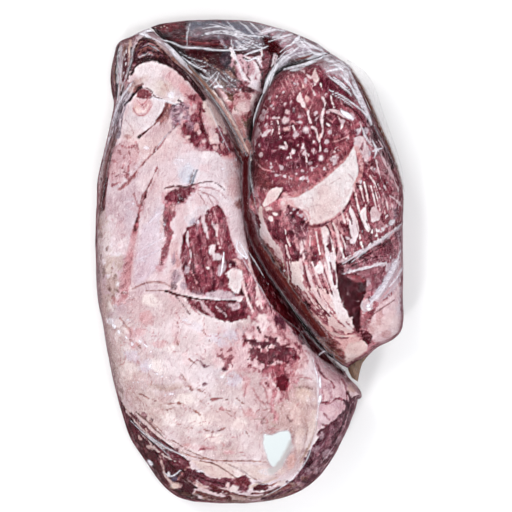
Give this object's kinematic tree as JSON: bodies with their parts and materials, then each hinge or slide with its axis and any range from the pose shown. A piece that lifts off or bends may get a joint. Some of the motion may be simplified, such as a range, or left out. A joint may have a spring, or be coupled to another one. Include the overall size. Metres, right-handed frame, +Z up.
{
  "type": "vacuum packed raw beef tri-tip",
  "caption": "Clear shrink bag with lumps of raw marbled beef pressed together, one under a pale fat cap, lying flat; a prop or a soft load to pick and place.",
  "frame": {"origin": "on the floor, under the middle of the pack", "axes": "+X across the pack, from the fat cap to the marbled lump; +Y along it, towards the dark lump's end; +Z up"},
  "size_m": [0.1984, 0.3104, 0.0682],
  "materials": {
    "fat_cap": "moist pale fat",
    "marbled_lean": "moist marbled lean",
    "dark_lean": "moist dark lean",
    "film": "clear shrink film"
  },
  "bodies": {
    "root": {"meat_large": "fat_cap", "meat_small": "marbled_lean", "meat_back": "dark_lean", "bag": "film"}
  },
  "joints": []
}
